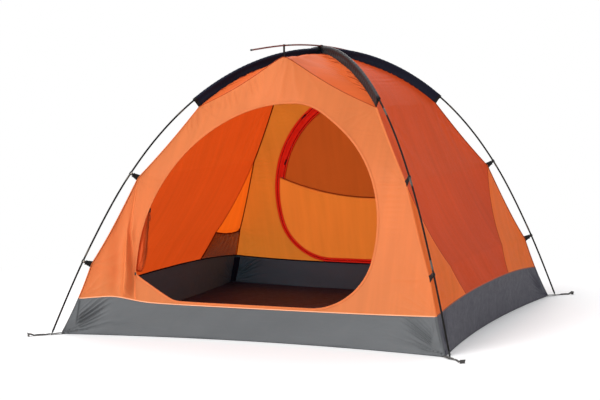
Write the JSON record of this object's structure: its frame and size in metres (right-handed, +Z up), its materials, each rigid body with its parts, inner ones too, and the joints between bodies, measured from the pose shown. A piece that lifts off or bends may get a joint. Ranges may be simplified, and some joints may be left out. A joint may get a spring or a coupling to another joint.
{
  "type": "tent on poles",
  "caption": "Dome tent: two crossed bent poles and a ridge pole carry an inner tent with a waterproof tub, an open front doorway and a zipped rear door with a window.",
  "frame": {"origin": "on the ground, at the middle of the floor", "axes": "+Z up, -Y towards the open front doorway, +X to the right seen from the front"},
  "size_m": [2.2052, 2.374, 1.4157],
  "materials": {
    "wall_nylon": "satin",
    "side_nylon": "satin",
    "gusset_nylon": "satin",
    "roof_nylon": "satin",
    "tub_fabric": "satin",
    "floor_fabric": "satin",
    "pole_tube": "satin",
    "ridge_tube": "satin",
    "black_plastic": "matte",
    "webbing": "matte",
    "sleeve_fabric": "satin",
    "bright_metal": "satin",
    "wall_tape": "matte",
    "zip_tape": "matte",
    "window_nylon": "satin",
    "roll_nylon": "satin",
    "mesh": "matte",
    "zip_metal": "satin"
  },
  "bodies": {
    "root": {"groundsheet": "floor_fabric", "tub_wall_front": "tub_fabric", "tub_wall_rear": "tub_fabric", "tub_wall_right": "tub_fabric", "tub_wall_left": "tub_fabric", "front_wall_panel": "wall_nylon", "front_wall_gusset": "wall_nylon", "rear_wall_panel": "wall_nylon", "rear_wall_gusset": "wall_nylon", "side_panel_right": "side_nylon", "side_panel_left": "side_nylon", "side_gusset_front_right": "gusset_nylon", "side_gusset_rear_left": "gusset_nylon", "side_gusset_rear_right": "gusset_nylon", "side_gusset_front_left": "gusset_nylon", "roof_panel_front": "roof_nylon", "roof_panel_rear": "roof_nylon", "crown_patch": "roof_nylon", "main_pole_under": "pole_tube", "main_pole_over": "pole_tube", "ridge_pole": "ridge_tube", "ridge_pole_caps": "black_plastic", "pole_tips": "bright_metal", "pole_clips": "black_plastic", "clip_tabs": "webbing", "ridge_straps": "webbing", "crossing_tie": "webbing", "corner_straps": "webbing", "corner_eyelets": "bright_metal", "front_zip_tape": "wall_tape", "rear_zip_tape": "zip_tape", "mesh_pocket": "mesh", "pole_sleeve_front_left": "sleeve_fabric", "pole_sleeve_front_right": "sleeve_fabric", "pole_sleeve_rear_right": "sleeve_fabric", "pole_sleeve_rear_left": "sleeve_fabric"},
    "rear_door": {"rear_door_tape": "zip_tape", "rear_door_panel": "wall_nylon", "rear_door_window": "window_nylon", "window_zip_tape": "zip_tape"},
    "rear_door_slider": {"rear_door_slider": "zip_metal"},
    "rear_door_pull": {"rear_door_pull": "zip_metal"},
    "window_slider": {"window_slider": "zip_metal"},
    "window_pull": {"window_pull": "zip_metal"},
    "front_door_slider": {"front_door_slider": "zip_metal"},
    "front_door_pull": {"front_door_pull": "zip_metal"},
    "front_roll": {"front_door_roll": "roll_nylon", "front_door_tie": "webbing", "front_door_toggle": "black_plastic"},
    "peg_loop_front_left": {"peg_loop_front_left": "webbing"},
    "peg_loop_front_right": {"peg_loop_front_right": "webbing"},
    "peg_loop_rear_right": {"peg_loop_rear_right": "webbing"},
    "peg_loop_rear_left": {"peg_loop_rear_left": "webbing"}
  },
  "joints": [
    {"name": "rear_door_swing", "type": "hinge", "parent": "root", "child": "rear_door", "pos_m": [0.64864, 0.93, 0.18], "axis": [0, 0.3232, -0.9463], "range_deg": [0, 120]},
    {"name": "rear_door_slider_travel", "type": "hinge", "parent": "root", "child": "rear_door_slider", "pos_m": [0.17409, 0.81702, 0.51074], "axis": [0, 0.9463, 0.3232], "range_deg": [-54, 7]},
    {"name": "window_slider_travel", "type": "hinge", "parent": "rear_door", "child": "window_slider", "pos_m": [0.17409, 0.81702, 0.51074], "axis": [0, 0.9463, 0.3232], "range_deg": [-5, 30]},
    {"name": "front_door_slider_travel", "type": "hinge", "parent": "root", "child": "front_door_slider", "pos_m": [-0.48864, -0.88087, 0.32384], "axis": [0, -0.9463, 0.3232], "range_deg": [0, 70]},
    {"name": "rear_door_pull_flip", "type": "hinge", "parent": "rear_door_slider", "child": "rear_door_pull", "pos_m": [-0.33597, 0.63284, 1.02582], "axis": [-0.682, -0.2364, 0.6921], "range_deg": [-23.6, 150.4]},
    {"name": "window_pull_flip", "type": "hinge", "parent": "window_slider", "child": "window_pull", "pos_m": [-0.48689, 0.72332, 0.76093], "axis": [-0.9272, -0.1211, 0.3545], "range_deg": [-17.22, 156.78]},
    {"name": "front_door_pull_flip", "type": "hinge", "parent": "front_door_slider", "child": "front_door_pull", "pos_m": [-0.64779, -0.88442, 0.28931], "axis": [-0.9781, -0.0672, -0.1967], "range_deg": [-157.75, 16.25]},
    {"name": "front_roll_swing", "type": "hinge", "parent": "root", "child": "front_roll", "pos_m": [-0.64864, -0.92905, 0.17968], "axis": [0, 0.3232, 0.9463], "range_deg": [-60, 25]},
    {"name": "peg_loop_lift_front_left", "type": "hinge", "parent": "root", "child": "peg_loop_front_left", "pos_m": [-1.01885, -1.09832, 0.006], "axis": [-0.7331, 0.6801, 0], "range_deg": [0, 75]},
    {"name": "peg_loop_lift_front_right", "type": "hinge", "parent": "root", "child": "peg_loop_front_right", "pos_m": [1.01885, -1.09832, 0.006], "axis": [-0.7331, -0.6801, 0], "range_deg": [0, 75]},
    {"name": "peg_loop_lift_rear_right", "type": "hinge", "parent": "root", "child": "peg_loop_rear_right", "pos_m": [1.01885, 1.09832, 0.006], "axis": [0.7331, -0.6801, 0], "range_deg": [0, 75]},
    {"name": "peg_loop_lift_rear_left", "type": "hinge", "parent": "root", "child": "peg_loop_rear_left", "pos_m": [-1.01885, 1.09832, 0.006], "axis": [0.7331, 0.6801, 0], "range_deg": [0, 75]}
  ]
}
